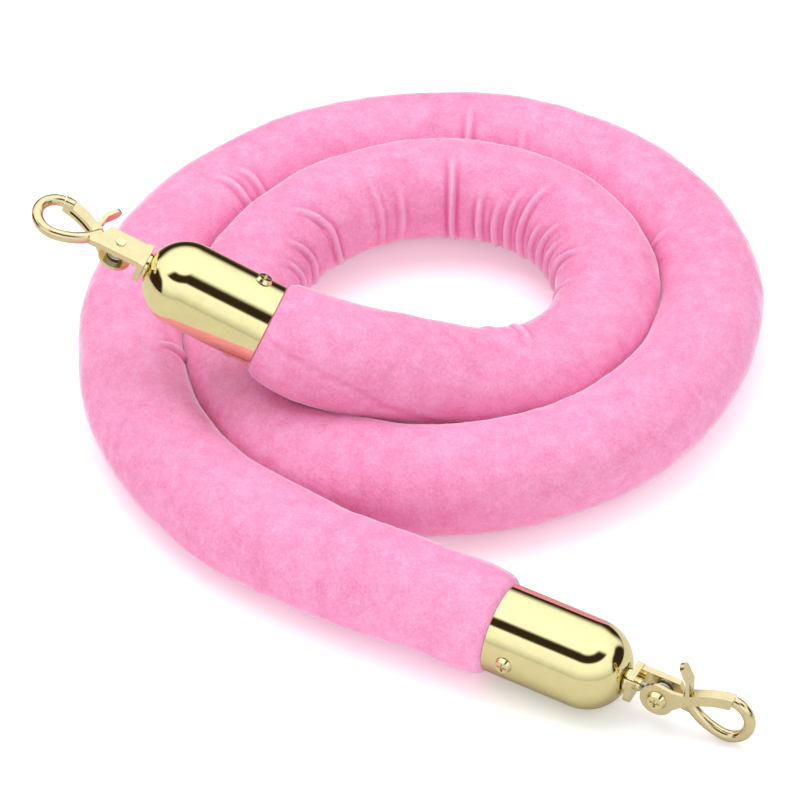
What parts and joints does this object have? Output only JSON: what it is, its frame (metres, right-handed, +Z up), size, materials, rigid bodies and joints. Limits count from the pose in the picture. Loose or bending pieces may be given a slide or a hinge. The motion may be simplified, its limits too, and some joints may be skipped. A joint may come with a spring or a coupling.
{
  "type": "velvet barrier rope",
  "caption": "Padded velvet barrier rope laid in a flat coil, with a domed metal cap and a swivelling trigger snap hook at both ends for clipping it to a post.",
  "frame": {"origin": "middle of the laid-out rope, on the floor it lies on", "axes": "+Z up, +Y along the longer side of the coil, towards its closed far side; +X towards the end with cap a"},
  "size_m": [0.2735, 0.3501, 0.1043],
  "materials": {
    "velvet": "deep pile velvet",
    "foam": "soft foam",
    "gold": "polished plate",
    "gold_screw": "polished plate",
    "steel": "bright zinc"
  },
  "bodies": {
    "rope": {"velvet_sleeve": "velvet", "rope_core": "foam", "end_cap_a": "gold", "cap_screws_a": "gold_screw", "outer_washer_a": "gold_screw", "inner_washer_a": "steel", "end_cap_b": "gold", "cap_screws_b": "gold_screw", "outer_washer_b": "gold_screw", "inner_washer_b": "steel"},
    "hook_a": {"swivel_rivet_a": "gold_screw", "hook_frame_a": "gold", "lever_pivot_a": "gold_screw", "lever_spring_a": "steel"},
    "lever_a": {"hook_lever_a": "gold"},
    "hook_b": {"swivel_rivet_b": "gold_screw", "hook_frame_b": "gold", "lever_pivot_b": "gold_screw", "lever_spring_b": "steel"},
    "lever_b": {"hook_lever_b": "gold"}
  },
  "joints": [
    {"name": "swivel_a", "type": "hinge", "parent": "rope", "child": "hook_a", "pos_m": [0.07351, -0.15511, 0.01506], "axis": [0.8883, -0.4526, -0.0785], "continuous": true},
    {"name": "gate_a", "type": "hinge", "parent": "hook_a", "child": "lever_a", "pos_m": [0.08471, -0.16082, 0.01407], "axis": [-0.448, -0.8913, 0.0695], "range_deg": [0, 28], "stiffness_Nm_per_rad": 0.04, "springref_deg": -34.38},
    {"name": "swivel_b", "type": "hinge", "parent": "rope", "child": "hook_b", "pos_m": [-0.09526, -0.01198, 0.08306], "axis": [-0.8913, 0.2556, 0.3746], "continuous": true},
    {"name": "gate_b", "type": "hinge", "parent": "hook_b", "child": "lever_b", "pos_m": [-0.10649, -0.00876, 0.08778], "axis": [-0.3182, 0.236, -0.9182], "range_deg": [0, 28], "stiffness_Nm_per_rad": 0.04, "springref_deg": -34.38}
  ]
}
